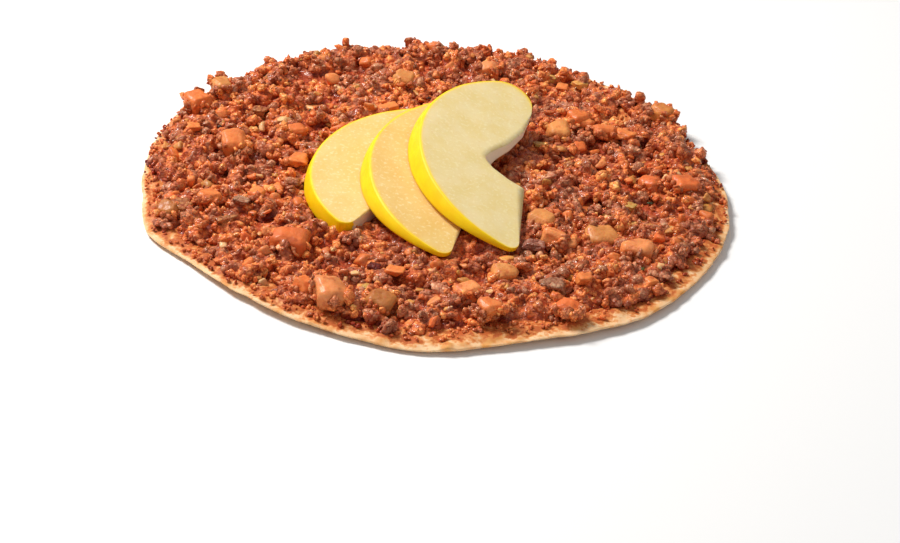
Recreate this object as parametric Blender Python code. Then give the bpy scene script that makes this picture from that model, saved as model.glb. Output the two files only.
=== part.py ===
"""A lahmacun: a thin round flatbread baked under spiced mince, with diced tomato and onion in
the mince and three peel-on quince slices fanned out on top.

Metres, +Z up. The bread rests on z = 0 with its middle at the origin. -Y is the front, where the
bare edge of the dough is widest, and the slices fan out from left to right.
"""

from math import atan2, cos, degrees, exp, pi, radians, sin, sqrt

import bmesh
import bpy
from mathutils import Vector, noise
from mathutils.bvhtree import BVHTree

# ---- Driving dimensions ---------------------------------------------------------------------
BREAD_RADIUS = 0.120
BREAD_THICKNESS = 0.0025
FLAT_SHARE = 0.80  # share of the radius over which the bread lies flat
CURL_AT_EDGE = 0.92  # how far along its smooth rise the curl is at the edge
OUTLINE_WAVE, OUTLINE_WAVE_SIZE = 0.0007, 0.09  # the size is a share of the radius
RIM_ROUNDING = 0.0011  # how far the edge's rounding reaches in
BUBBLE_HEIGHT = 0.0011  # of the baked blisters along the edge
BUBBLE_SIZE = 0.011
BUBBLES_FROM, BUBBLES_FADE_IN = 0.86, 0.06  # shares of the radius
BUBBLES_TO, BUBBLES_FADE_OUT = 0.97, 0.03

TOPPING_THICKNESS = 0.0050
TOPPING_EDGE = 0.0022  # thickness at the mince's own edge
TOPPING_TAPER = 0.012  # width over which the mince thins out to that
TAPER_AT_EDGE = 0.25  # how far along its smooth rise the mince starts
TOPPING_RINGS = 20
SWELL_HEIGHT, SWELL_SIZE = 0.0018, 0.034
LUMP_HEIGHT, LUMP_SIZE = 0.0030, 0.0135
MOUND_HEIGHT, MOUND_RADIUS = 0.0025, 0.026  # a swell of mince under the slices' stem ends
MOUND_X, MOUND_Y = 0.018, 0.036
BARE_THICKNESS = 0.0011  # left where the dough nearly shows
BARE_CORE, BARE_FADE = 0.4, 0.9  # shares of a thin patch's radius
RAGGED_EDGE, RAGGED_SIZE = 0.0016, 0.012
RAGGED_OUTWARD = 0.0007  # the most that the mince's edge bulges out

GAP = 0.0003  # between neighbours that touch
SINK_GAP = 0.0008  # of mince kept under a sunk piece
POCKET_GROWTH = 0.00078  # how much larger than its piece a pocket is, side to side
DENT_GROWTH = 0.0007  # at the corners of the dent that a slice presses into the mince

CORNER_WEAR, CORNER_MOVE, CORNER_PATTERN = 0.17, 0.3, 2.1  # of a cut block one unit wide

SLICE_WIDTH = 0.046  # from the core's cut to the peel
SLICE_ARC = 0.053  # radius of the peel's curve, before the stretch
SLICE_STRETCH = 1.08  # the fruit is this much longer than it is wide
SLICE_LOBE = 0.011  # rounding by the stem
SLICE_FOOT = 0.004  # rounding by the blossom end
SLICE_PEEL_THICKNESS = 0.0094
SLICE_STEM_THICKNESS = 0.0024  # along the core's cut, at its stem end
SLICE_HOLLOW = 1.6  # above 1, the lower face is hollow between the core's cut and the peel
SLICE_BULGE = 0.0006  # of the peel, halfway down
SLICE_FLARE = 0.0019  # how much wider the lower face is at the peel
FLARE_FADE = 0.030  # the flare fades out over this width next to the core's cut
NOTCH_DEPTH = 0.0180
NOTCH_TOP, NOTCH_APEX, NOTCH_BOTTOM = 0.0360, -0.0035, -0.0155  # along the core's cut
NOTCH_SLOPE = 0.0040  # how far its inner end slopes out downwards
NOTCH_SIDE_SLOPE = 0.0018  # and its two sides

# Outline of the bread: bulges as (degrees, height, half width in degrees).
BULGES = [
    (268, 0.0026, 9),
    (206, 0.0040, 10),
    (216, -0.0016, 6),
    (85, 0.0022, 20),
    (22, -0.0026, 14),
    (228, -0.0022, 13),
    (145, -0.0020, 10),
    (288, -0.0016, 8),
    (312, 0.0016, 8),
]
# Height of the edge's underside, as (degrees, metres).
RIM_LIFTS = [
    (0, 0.0026),
    (45, 0.0036),
    (90, 0.0026),
    (130, 0.0034),
    (175, 0.0030),
    (207, 0.0010),
    (236, 0.0026),
    (268, 0.0009),
    (296, 0.0024),
    (330, 0.0014),
]
# Width of bare dough outside the mince, as (degrees, metres).
MARGINS = [
    (0, 0.0065),
    (20, 0.0035),
    (45, 0.0030),
    (58, 0.0058),
    (75, 0.0020),
    (120, 0.0016),
    (150, 0.0024),
    (178, 0.0040),
    (207, 0.0090),
    (232, 0.0070),
    (250, 0.0085),
    (272, 0.0120),
    (300, 0.0105),
    (325, 0.0095),
    (345, 0.0080),
]
# Thin places in the mince, as (x, y, radius).
BARE_PATCHES = [
    (-0.082, -0.062, 0.0085),
    (-0.087, 0.020, 0.0065),
    (-0.056, 0.060, 0.0070),
    (-0.064, -0.058, 0.0045),
    (0.086, -0.022, 0.0090),
    (0.050, -0.056, 0.0085),
    (0.077, 0.069, 0.0085),
    (-0.004, 0.084, 0.0060),
    (0.037, -0.096, 0.0060),
    (0.058, 0.085, 0.0060),
]
# Diced tomato, as (x, y, width, depth, height, turn in degrees, lean in degrees).
TOMATO_DICE = [
    (-0.037, -0.100, 0.0120, 0.0120, 0.0085, 12, 10),
    (0.022, -0.101, 0.0095, 0.0085, 0.0080, 30, 8),
    (0.014, -0.089, 0.0095, 0.0070, 0.0070, 35, -6),
    (-0.055, -0.060, 0.0150, 0.0110, 0.0085, -8, 5),
    (-0.085, 0.012, 0.0115, 0.0105, 0.0085, 20, 12),
    (-0.090, -0.033, 0.0095, 0.0085, 0.0080, 55, 8),
    (0.080, -0.049, 0.0125, 0.0115, 0.0085, -15, 6),
    (0.101, 0.004, 0.0110, 0.0105, 0.0085, 25, 10),
    (0.087, 0.005, 0.0090, 0.0080, 0.0070, -30, -8),
    (0.047, -0.045, 0.0070, 0.0085, 0.0080, 70, 18),
    (0.019, 0.096, 0.0090, 0.0080, 0.0075, 5, 6),
    (-0.103, 0.043, 0.0100, 0.0095, 0.0075, 40, 5),
    (-0.061, 0.027, 0.0085, 0.0075, 0.0070, 15, 10),
    (0.052, -0.095, 0.0095, 0.0075, 0.0060, -20, 4),
    (-0.047, -0.093, 0.0075, 0.0075, 0.0065, 50, 8),
    (0.069, 0.048, 0.0100, 0.0080, 0.0070, 10, 6),
    (0.058, 0.056, 0.0085, 0.0080, 0.0070, 40, 8),
    (-0.072, -0.027, 0.0080, 0.0070, 0.0065, 65, 8),
]
# Cooked onion, in the same order: flatter, and bent.
ONION_PIECES = [
    (0.066, -0.039, 0.0125, 0.0115, 0.0050, 25, 12),
    (0.050, 0.046, 0.0095, 0.0110, 0.0062, 0, 8),
    (0.042, -0.031, 0.0100, 0.0100, 0.0075, 60, 0),
    (-0.018, -0.098, 0.0105, 0.0095, 0.0055, -25, 10),
    (0.028, -0.071, 0.0095, 0.0090, 0.0055, 15, 10),
    (-0.095, 0.062, 0.0085, 0.0085, 0.0055, 30, 12),
    (-0.018, 0.083, 0.0095, 0.0080, 0.0055, -10, 14),
    (0.094, 0.063, 0.0085, 0.0090, 0.0060, 50, 10),
    (-0.105, -0.043, 0.0095, 0.0070, 0.0055, -35, 8),
]
# Quince slices from the lowest up, as (name, scale, x, y, turn, lean towards the core, lift of the
# stem end, thickness of the blossom end, how deep it is pressed into the mince), the turn, lean and
# lift in degrees. The place is the middle of the core's cut.
QUINCE_SLICES = [
    ("left", 0.95, -0.0054, -0.0055, -32.3, 5.0, 1.2, 0.0076, 0.0046),
    ("middle", 1.00, 0.0178, -0.0108, -11.6, 12.5, 4.2, 0.0018, 0.0),
    ("right", 1.00, 0.0355, -0.0016, -2.4, 18.0, 7.1, 0.0018, 0.0),
]


# ---- Small helpers --------------------------------------------------------------------------
def smooth(t):
    """0 below 0 and 1 above 1, with a smooth step between."""
    t = min(max(t, 0.0), 1.0)
    return t * t * (3 - 2 * t)


def around(table, angle):
    """Value at an angle in radians, read smoothly round a table of (degrees, value)."""
    turn = degrees(angle) % 360
    ends = table + [(table[0][0] + 360, table[0][1])]
    for (low, a), (high, b) in zip(ends, ends[1:]):
        if turn < low:
            turn += 360
        if low <= turn <= high:
            return a + (b - a) * smooth((turn - low) / (high - low))
    return table[0][1]


def rough(x, y, size, seed):
    """Smooth noise between about -1 and 1, with hills of the given size."""
    return noise.noise(Vector((x / size, y / size, seed)))


def principled(name, colour, roughness, **more):
    material = bpy.data.materials.new(name)
    material.use_nodes = True
    shader = material.node_tree.nodes["Principled BSDF"]
    shader.inputs["Base Color"].default_value = (*colour, 1)
    shader.inputs["Roughness"].default_value = roughness
    shader.inputs["Metallic"].default_value = 0
    for socket, value in more.items():
        shader.inputs[socket.replace("_", " ")].default_value = value
    material.diffuse_color = (*colour, 1)
    return material


def add_object(name, bm, material):
    bmesh.ops.recalc_face_normals(bm, faces=bm.faces)
    mesh = bpy.data.meshes.new(name)
    bm.to_mesh(mesh)
    bm.free()
    mesh.materials.append(material)
    obj = bpy.data.objects.new(name, mesh)
    bpy.context.scene.collection.objects.link(obj)
    return obj


def stitch(bm, inner, outer):
    """Triangles between two rings of points, both from angle 0 round."""
    i = j = 0
    while i < len(inner) or j < len(outer):
        a, b = inner[i % len(inner)], outer[j % len(outer)]
        if j == len(outer) or (i < len(inner) and (i + 1) * len(outer) <= (j + 1) * len(inner)):
            i += 1
            bm.faces.new((a, inner[i % len(inner)], b))
        else:
            j += 1
            bm.faces.new((a, outer[j % len(outer)], b))


def ring(bm, count, radius, height):
    """A ring of points, where radius(angle) and height(x, y) say how far out and how high."""
    points = []
    for k in range(count):
        angle = 2 * pi * k / count
        r = radius(angle)
        x, y = r * cos(angle), r * sin(angle)
        points.append(bm.verts.new((x, y, height(x, y))))
    return points


def cover(bm, rings, height):
    """Closes the innermost of the rings with a fan and stitches each ring to the next."""
    middle = bm.verts.new((0, 0, height(0, 0)))
    first = rings[0]
    for k, point in enumerate(first):
        bm.faces.new((middle, point, first[(k + 1) % len(first)]))
    for inner, outer in zip(rings, rings[1:]):
        stitch(bm, inner, outer)


# ---- The flatbread --------------------------------------------------------------------------
def bread_radius(angle):
    r = BREAD_RADIUS
    for middle, height, width in BULGES:
        off = (degrees(angle) - middle + 180) % 360 - 180
        r += height * exp(-((off / width) ** 2))
    return r + OUTLINE_WAVE * rough(cos(angle), sin(angle), OUTLINE_WAVE_SIZE, 3.1)


def bread_share(x, y):
    """0 at the middle and 1 at the outline."""
    return sqrt(x * x + y * y) / bread_radius(atan2(y, x))


def bread_bottom(x, y):
    rise = smooth((bread_share(x, y) - FLAT_SHARE) / (1 - FLAT_SHARE) * CURL_AT_EDGE)
    return rise * around(RIM_LIFTS, atan2(y, x))


def bread_top(x, y):
    share = bread_share(x, y)
    near_edge = smooth((share - BUBBLES_FROM) / BUBBLES_FADE_IN)
    near_edge *= 1 - smooth((share - BUBBLES_TO) / BUBBLES_FADE_OUT)
    blister = max(rough(x, y, BUBBLE_SIZE, 7.7), 0.0) * 2 * BUBBLE_HEIGHT * near_edge
    return bread_bottom(x, y) + BREAD_THICKNESS + blister


def make_bread(name, lift=0.0):
    """The bread, or with a lift the same shape higher up."""
    bm = bmesh.new()
    inner = 1 - RIM_ROUNDING / BREAD_RADIUS
    upper = [(6, 0.12), (18, 0.35), (36, 0.60), (60, 0.80), (96, 0.875), (120, 0.93), (120, inner)]
    lower = [(6, 0.12), (30, 0.50), (60, 0.80), (96, 0.90), (120, inner)]

    def rings(plan, height):
        made = []
        for count, share in plan:
            made.append(ring(bm, count, lambda a, s=share: s * bread_radius(a), height))
        return made

    def raised_top(x, y):
        return bread_top(x, y) + lift

    def raised_bottom(x, y):
        return bread_bottom(x, y) + lift

    def edge_height(x, y):
        return bread_bottom(x, y) + 0.45 * BREAD_THICKNESS + lift

    top = rings(upper, raised_top)
    bottom = rings(lower, raised_bottom)
    edge = ring(bm, 120, bread_radius, edge_height)
    cover(bm, top, raised_top)
    cover(bm, bottom, raised_bottom)
    stitch(bm, top[-1], edge)
    stitch(bm, bottom[-1], edge)
    dough = principled("baked_dough", (0.78, 0.58, 0.36), 0.75)
    return add_object(name, bm, dough)


# ---- The mince ------------------------------------------------------------------------------
def topping_radius(angle):
    ragged = RAGGED_EDGE * rough(cos(angle), sin(angle), RAGGED_SIZE / BREAD_RADIUS, 5.5)
    return bread_radius(angle) - around(MARGINS, angle) + min(ragged, RAGGED_OUTWARD)


def topping_height(x, y):
    """Top of the mince: an even layer with swells and lumps, thin at its edge and at bare patches."""
    from_edge = topping_radius(atan2(y, x)) - sqrt(x * x + y * y)
    layer = TOPPING_THICKNESS + SWELL_HEIGHT * rough(x, y, SWELL_SIZE, 1.3)
    layer += LUMP_HEIGHT * rough(x, y, LUMP_SIZE, 2.9)
    from_mound = (x - MOUND_X) ** 2 + (y - MOUND_Y) ** 2
    layer += MOUND_HEIGHT * exp(-from_mound / MOUND_RADIUS**2)
    rise = smooth(TAPER_AT_EDGE + from_edge / TOPPING_TAPER)
    layer = TOPPING_EDGE + (layer - TOPPING_EDGE) * rise
    for patch_x, patch_y, patch_radius in BARE_PATCHES:
        away = sqrt((x - patch_x) ** 2 + (y - patch_y) ** 2) / patch_radius
        layer -= (layer - BARE_THICKNESS) * (1 - smooth((away - BARE_CORE) / BARE_FADE))
    return bread_bottom(x, y) + BREAD_THICKNESS + layer


def make_topping():
    """The mince, with its underside cut to the bread."""
    bm = bmesh.new()

    def below(x, y):
        return bread_bottom(x, y) + BREAD_THICKNESS / 2

    top = []
    for k in range(1, TOPPING_RINGS + 1):
        share = k / TOPPING_RINGS
        top.append(ring(bm, 6 * k, lambda a, s=share: s * topping_radius(a), topping_height))
    bottom = [
        ring(bm, 6, lambda a: 0.2 * topping_radius(a), below),
        ring(bm, 54, lambda a: 0.8 * topping_radius(a), below),
        ring(bm, 108, lambda a: topping_radius(a) - GAP, below),
    ]
    cover(bm, top, topping_height)
    cover(bm, bottom, below)
    stitch(bm, top[-1], bottom[-1])
    mince = principled("spiced_mince", (0.34, 0.10, 0.045), 0.5)
    return add_object("meat_topping", bm, mince)


def cut(obj, cutter):
    """Takes the cutter out of the object. The cutter stays as a guide."""
    cutter.hide_render = True
    cutter.display_type = "WIRE"
    modifier = obj.modifiers.new("Cut " + cutter.name, "BOOLEAN")
    modifier.operation = "DIFFERENCE"
    modifier.solver = "EXACT"
    modifier.object = cutter


# ---- Tomato and onion -----------------------------------------------------------------------
def block(size, seed, bend):
    """A cut block with worn corners: each corner moves a little, and bend curls the block."""
    bm = bmesh.new()
    bmesh.ops.create_cube(bm, size=1)
    for corner in bm.verts:
        where = corner.co * CORNER_PATTERN + Vector((seed, 0, 0))
        moves = [noise.noise(where + Vector((0, 0, 9.7 * axis))) for axis in range(3)]
        corner.co += Vector(moves) * CORNER_MOVE
    bmesh.ops.bevel(bm, geom=bm.edges[:], offset=CORNER_WEAR, segments=1, affect="EDGES", profile=0.5)
    for corner in bm.verts:
        corner.co.z -= bend * corner.co.x ** 2
        corner.co = Vector(corner.co[k] * size[k] for k in range(3))
    bmesh.ops.triangulate(bm, faces=bm.faces)
    return bm


def set_in(topping, name, spec, bend, seed, material):
    """Puts a block into the mince, in a pocket of its own shape."""
    x, y, width, depth, height, turn, lean = spec
    size = (width, depth, height)
    piece = add_object(name, block(size, seed, bend), material)
    floor = bread_bottom(x, y) + BREAD_THICKNESS + SINK_GAP
    piece.rotation_euler = (radians(lean), radians(lean) / 2, radians(turn))
    piece.location = (x, y, floor)
    turned = piece.rotation_euler.to_matrix()
    lowest = min((turned @ corner.co).z for corner in piece.data.vertices)
    piece.location.z += GAP - lowest

    grown = [side + POCKET_GROWTH for side in size]
    pocket = add_object("pocket_" + name, block(grown, seed, bend), material)
    pocket.location = piece.location
    pocket.rotation_euler = piece.rotation_euler
    cut(topping, pocket)
    return piece


# ---- The quince slices ----------------------------------------------------------------------
def arc(centre, radius, start, end, steps):
    """Points along an arc, in degrees anticlockwise."""
    points = []
    for k in range(steps + 1):
        angle = radians(start + (end - start) * k / steps)
        points.append((centre[0] + radius * cos(angle), centre[1] + radius * sin(angle)))
    return points


def slice_outline(flare, slope):
    """A half moon with its core cut out, anticlockwise from the stem lobe. The cut lies on x = 0.

    flare widens it at the peel, and slope, from 0 to 1, makes the core's notch shallower."""
    middle = SLICE_ARC - SLICE_WIDTH  # the peel's centre lies this far past the cut
    lobe_y = sqrt((SLICE_ARC - SLICE_LOBE) ** 2 - (SLICE_LOBE + middle) ** 2)
    foot_y = -sqrt((SLICE_ARC - SLICE_FOOT) ** 2 - (SLICE_FOOT + middle) ** 2)
    start = degrees(atan2(lobe_y, -SLICE_LOBE - middle))
    end = degrees(atan2(foot_y, -SLICE_FOOT - middle)) % 360
    peel = arc((-SLICE_LOBE, lobe_y), SLICE_LOBE, 0, start, 5)
    peel += arc((middle, 0), SLICE_ARC, start, end, 18)[1:]
    peel += arc((-SLICE_FOOT, foot_y), SLICE_FOOT, end, 360, 4)[1:]
    points = []
    for x, y in peel:
        outward = Vector((x - middle, y)).normalized() * flare * min(1, -x / FLARE_FADE)
        points.append((x + outward.x, (y + outward.y) * SLICE_STRETCH))

    depth = NOTCH_DEPTH - slope * NOTCH_SLOPE
    top = NOTCH_TOP - slope * NOTCH_SIDE_SLOPE
    bottom = NOTCH_BOTTOM + slope * NOTCH_SIDE_SLOPE
    apex = NOTCH_APEX + slope * NOTCH_SIDE_SLOPE / 2
    lower_side = [(0.0, 1.0), (0.40, 0.80), (0.78, 0.46), (0.95, 0.18), (1.0, 0.0)]
    upper_side = [(0.88, 0.11), (0.50, 0.34), (0.15, 0.66)]  # as shares of the depth and of the way
    points += [(-share * depth, apex + way * (bottom - apex)) for share, way in lower_side]
    points += [(-share * depth, apex + way * (top - apex)) for share, way in upper_side]
    return points


def slice_depth(x, y, foot):
    """Thickness of a slice: a wedge, thick at the peel and thin along the core's cut."""
    along = 0.5 + 0.5 * y / (SLICE_ARC * SLICE_STRETCH)
    core = foot + (SLICE_STEM_THICKNESS - foot) * along
    return core + (SLICE_PEEL_THICKNESS - core) * (max(-x, 0) / SLICE_WIDTH) ** SLICE_HOLLOW


def make_slice(name, scale, foot, material):
    """One slice, with its upper face at height 0 in its own space. foot is its blossom end's depth."""
    bm = bmesh.new()
    upper = slice_outline(0, 0)
    layers = []
    for share, bulge in ((0.0, 0.0), (0.5, SLICE_BULGE), (1.0, 0.0)):
        layer = []
        for (x, y), over in zip(slice_outline(share * SLICE_FLARE + bulge, share), upper):
            where = Vector((x, y, -share * slice_depth(*over, foot)))
            layer.append(bm.verts.new(where * scale))
        layers.append(layer)
    count = len(upper)
    for high, low in zip(layers, layers[1:]):
        for k in range(count):
            after = (k + 1) % count
            bm.faces.new((high[k], high[after], low[after], low[k]))
    bm.faces.new(layers[0])
    bm.faces.new(layers[-1])
    bmesh.ops.triangulate(bm, faces=bm.faces)
    return add_object(name, bm, material)


def dent(wedge, material):
    """A slightly larger copy of a slice, to press into the mince."""
    bm = bmesh.new()
    bm.from_mesh(wedge.data)
    bm.normal_update()
    moves = [corner.normal * DENT_GROWTH for corner in bm.verts]
    for corner, move in zip(bm.verts, moves):
        corner.co += move
    copy = add_object("dent_" + wedge.name, bm, material)
    copy.rotation_mode = wedge.rotation_mode
    copy.rotation_euler = wedge.rotation_euler
    copy.location = wedge.location
    return copy


def world_mesh(obj):
    """Points and faces of an object as it stands, in world space."""
    graph = bpy.context.evaluated_depsgraph_get()
    shape = obj.evaluated_get(graph)
    mesh = shape.to_mesh()
    points = [shape.matrix_world @ corner.co for corner in mesh.vertices]
    faces = [tuple(face.vertices) for face in mesh.polygons]
    shape.to_mesh_clear()
    return points, faces


def rest_on(obj, supports):
    """Lowers an object until it just clears what is under it."""
    bpy.context.view_layer.update()
    points, faces = world_mesh(obj)
    above = BVHTree.FromPolygons(points, faces)
    room = 1.0
    for support in supports:
        under_points, under_faces = world_mesh(support)
        under = BVHTree.FromPolygons(under_points, under_faces)
        for point in points:
            hit = under.ray_cast(point, (0, 0, -1))[0]
            if hit:
                room = min(room, point.z - hit.z)
        for point in under_points:
            hit = above.ray_cast(point, (0, 0, 1))[0]
            if hit:
                room = min(room, hit.z - point.z)
        step = SLICE_WIDTH / 24
        low = [min(point[k] for point in points) for k in range(2)]
        high = [max(point[k] for point in points) for k in range(2)]
        for i in range(int((high[0] - low[0]) / step)):
            for j in range(int((high[1] - low[1]) / step)):
                start = Vector((low[0] + (i + 0.5) * step, low[1] + (j + 0.5) * step, -0.01))
                lower_face = above.ray_cast(start, (0, 0, 1))[0]
                if lower_face:
                    hit = under.ray_cast(lower_face, (0, 0, -1))[0]
                    if hit:
                        room = min(room, lower_face.z - hit.z)
    obj.location.z -= room - GAP


# ---- Building it ----------------------------------------------------------------------------
def build():
    for obj in list(bpy.data.objects):
        bpy.data.objects.remove(obj)

    make_bread("flatbread")
    topping = make_topping()
    cut(topping, make_bread("bread_clearance", GAP))

    tomato = principled("tomato_flesh", (0.72, 0.17, 0.05), 0.35, Subsurface_Weight=0.2)
    onion = principled("cooked_onion", (0.72, 0.42, 0.12), 0.35, Subsurface_Weight=0.3)
    sunk = []
    for k, spec in enumerate(TOMATO_DICE, 1):
        name = f"tomato_dice_{k:02d}"
        sunk.append(set_in(topping, name, spec, 0.0, 3.7 * k, tomato))
    for k, spec in enumerate(ONION_PIECES, 1):
        name = f"onion_piece_{k:02d}"
        sunk.append(set_in(topping, name, spec, 0.7, 5.3 * k, onion))

    flesh = principled("quince_flesh", (0.86, 0.76, 0.40), 0.4, Subsurface_Weight=0.3)
    supports = [topping, *sunk]
    for name, scale, x, y, turn, lean, lift, foot, pressed in QUINCE_SLICES:
        wedge = make_slice("quince_slice_" + name, scale, foot, flesh)
        wedge.rotation_mode = "YXZ"
        wedge.rotation_euler = (radians(lift), radians(lean), radians(turn))
        wedge.location = (x, y, SLICE_WIDTH)
        rest_on(wedge, supports)
        if pressed:
            wedge.location.z -= pressed
            cut(topping, dent(wedge, material=flesh))
        supports.append(wedge)


build()
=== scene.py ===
"""The looks of a lahmacun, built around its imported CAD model.

Metres, +Z up, in the model's own frame: the bread rests on z = 0 and its front faces -Y. The mince is
thousands of crumbs melted into one surface, laid over the heights that the CAD topping gives. The
bread, the diced vegetables and the quince slices are finer meshes of the CAD shapes.
"""

from math import atan2, cos, degrees, pi, radians, sin, sqrt

import bmesh
import bpy
import numpy as np
from mathutils import Matrix, Vector
from mathutils.bvhtree import BVHTree
from mathutils.kdtree import KDTree


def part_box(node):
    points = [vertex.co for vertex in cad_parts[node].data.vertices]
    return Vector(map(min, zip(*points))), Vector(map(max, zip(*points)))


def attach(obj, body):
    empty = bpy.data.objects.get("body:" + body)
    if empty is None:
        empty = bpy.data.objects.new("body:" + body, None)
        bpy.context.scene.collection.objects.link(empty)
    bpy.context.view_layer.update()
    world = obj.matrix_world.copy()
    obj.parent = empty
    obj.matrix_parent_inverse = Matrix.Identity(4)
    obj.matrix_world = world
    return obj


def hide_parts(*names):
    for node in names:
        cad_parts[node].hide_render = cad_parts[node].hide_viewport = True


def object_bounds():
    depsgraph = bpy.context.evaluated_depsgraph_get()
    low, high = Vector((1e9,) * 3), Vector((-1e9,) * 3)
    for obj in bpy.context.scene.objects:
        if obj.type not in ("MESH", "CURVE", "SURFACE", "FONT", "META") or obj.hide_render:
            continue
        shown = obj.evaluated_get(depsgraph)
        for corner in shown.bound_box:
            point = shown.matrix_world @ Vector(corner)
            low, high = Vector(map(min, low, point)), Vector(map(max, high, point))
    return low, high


MM = 0.001

# ---- Camera ---------------------------------------------------------------------------------
CAMERA_PLACE = (0.0, -0.88825, 0.50828)
CAMERA_AIM = (0.0073, -0.0618, 0.0)
CAMERA_ROLL = 4.389
CAMERA_LENS = 100

# ---- The mince ------------------------------------------------------------------------------
MAP_STEP = 0.6 * MM  # of the height maps read from the CAD solids
VOXEL = 0.74 * MM
PASTE_DEPTH = 3.4 * MM  # of the paste between the lumps, under the topping's top
LUMP_COUNT = 1300
GRAIN_COUNT, CRUMB_COUNT = 4200, 2500  # small and larger crumbs stuck on the melted surface
COLLAR_COUNT = 24  # crumbs pressed against each sunk piece
MARGIN_COUNT = 850  # crumbs strewn on the bare edge of the bread
LOWEST_CRUMB = 0.3 * MM  # crumbs on the lip stay above the surface that the bread rests on
SECTORS = 4

# ---- Small bits among the mince --------------------------------------------------------------
SMALL_DICE_COUNT = 330
SMALL_ONION_COUNT = 220
HERB_COUNT = 70
DICE_DETAIL = 12

# ---- The quince slices, as in the CAD model --------------------------------------------------
SLICE_WIDTH, SLICE_ARC, SLICE_STRETCH = 46 * MM, 53 * MM, 1.08
SLICE_LOBE, SLICE_FOOT = 11 * MM, 4 * MM
SLICE_PEEL_THICKNESS = 9.4 * MM
SLICE_STEM_THICKNESS, SLICE_HOLLOW = 2.4 * MM, 1.6
SLICE_BULGE, SLICE_FLARE, FLARE_FADE = 0.6 * MM, 1.9 * MM, 30 * MM
NOTCH_DEPTH = 18 * MM
NOTCH_TOP, NOTCH_APEX, NOTCH_BOTTOM = 36 * MM, -3.5 * MM, -15.5 * MM
NOTCH_SLOPE, NOTCH_SIDE_SLOPE = 4 * MM, 1.8 * MM
QUINCE_SLICES = [
    ("left", 0.95, -5.4, -5.5, -32.3, 5.0, 1.2, 7.6),
    ("middle", 1.00, 17.8, -10.8, -11.6, 12.5, 4.2, 1.8),
    ("right", 1.00, 35.5, -1.6, -2.4, 18.0, 7.1, 1.8),
]

# ---- Chunks that stand out, as (x, y, length, width, kind) in millimetres ---------------------
CHUNK_COLOURS = {
    "brown": (0.44, 0.155, 0.055),
    "grey": (0.42, 0.20, 0.115),
    "purple": (0.36, 0.145, 0.10),
    "yellow": (0.74, 0.36, 0.085),
    "green": (0.56, 0.33, 0.075),
    "orange": (0.82, 0.235, 0.055),
    "pink": (0.74, 0.33, 0.19),
    "bean": (0.15, 0.016, 0.010),
}
MEAT_CHUNKS = [
    (-100, -40, 10, 8, "brown"),
    (-77, -33, 8, 6, "grey"),
    (-81, -50, 10, 5, "brown"),
    (-78, 43, 9, 8, "brown"),
    (-22, -73, 6.5, 4, "bean"),
    (39, -50, 10, 6, "purple"),
    (47, -78, 12, 10, "grey"),
    (4, -89, 9, 7, "pink"),
    (44, 2, 10, 7, "pink"),
    (54, 17, 6, 5, "brown"),
]
SOFT_CHUNKS = [
    (-24, -88, 5, 4, "green"),
    (-14, -76, 8, 7, "orange"),
    (29, -61, 6, 5, "yellow"),
    (58, -76, 8, 8, "orange"),
    (55, -95, 5.7, 5.7, "orange"),
    (84, -71, 6, 5, "orange"),
    (106, 4, 5, 4, "green"),
    (42, 29, 8, 4, "green"),
    (78, -13.5, 6.5, 6, "green"),
    (46, 95, 6, 5, "green"),
    (-55.5, 95, 4.5, 4, "orange"),
    (-58, 5, 10, 9, "orange"),
    (-104, 23, 8, 8, "orange"),
    (-23, 55, 10, 6, "orange"),
    (51.5, 86, 6.5, 6, "orange"),
    (61, 54, 7.5, 7, "orange"),
    (77, 45, 10, 7, "orange"),
    (59.5, 91, 8, 6, "yellow"),
]

rng = np.random.default_rng(7)
for startup in ("Cube", "Light", "Camera"):
    if startup in bpy.data.objects:
        bpy.data.objects.remove(bpy.data.objects[startup])
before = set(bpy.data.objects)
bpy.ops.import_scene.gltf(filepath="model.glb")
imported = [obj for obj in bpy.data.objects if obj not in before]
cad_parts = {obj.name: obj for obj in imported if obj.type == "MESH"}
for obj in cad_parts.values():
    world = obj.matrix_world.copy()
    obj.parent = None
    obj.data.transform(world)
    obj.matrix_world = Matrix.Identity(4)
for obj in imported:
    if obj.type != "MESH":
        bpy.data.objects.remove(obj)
cad_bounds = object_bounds()


# ---- Noise and arrays -----------------------------------------------------------------------
def lattice(i, j, k, seed):
    """A fixed pseudo-random 32-bit number for each whole-numbered point."""
    h = i.astype(np.uint32) * np.uint32(0x9E3779B1)
    h ^= j.astype(np.uint32) * np.uint32(0x85EBCA77)
    h ^= k.astype(np.uint32) * np.uint32(0xC2B2AE3D)
    h ^= np.uint32(seed * 668265263 & 0xFFFFFFFF)
    h ^= h >> np.uint32(15)
    h *= np.uint32(0x2C1B3C6D)
    h ^= h >> np.uint32(12)
    h *= np.uint32(0x297A2D39)
    h ^= h >> np.uint32(15)
    return h


def rough(points, size, seed):
    """Smooth noise between about -1 and 1, with hills of the given size."""
    where = np.asarray(points, float) / size + 1000.0
    cell = np.floor(where).astype(np.int64)
    inside = where - cell
    blend = inside**3 * (inside * (inside * 6 - 15) + 10)
    total = np.zeros(len(where))
    for corner in range(8):
        step = np.array([corner & 1, corner >> 1 & 1, corner >> 2 & 1])
        h = lattice(*(cell + step).T, seed)
        slope = np.stack([(h >> np.uint32(s)) & np.uint32(1023) for s in (0, 10, 20)], 1)
        slope = slope / 511.5 - 1
        weight = np.where(step, blend, 1 - blend).prod(axis=1)
        total += weight * ((inside - step) * slope).sum(axis=1)
    return total * 1.3


def layered(points, size, seed, layers=3):
    """Noise with finer noise on top of it."""
    total = np.zeros(len(points))
    for k in range(layers):
        total += rough(points, size / 2**k, seed + k) / 2**k
    return total


def smooth(t):
    t = np.clip(t, 0, 1)
    return t * t * (3 - 2 * t)


def flat(x, y):
    """Points on z = 0 for arrays of x and y."""
    return np.stack([x, y, np.zeros_like(x)], axis=-1)


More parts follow.
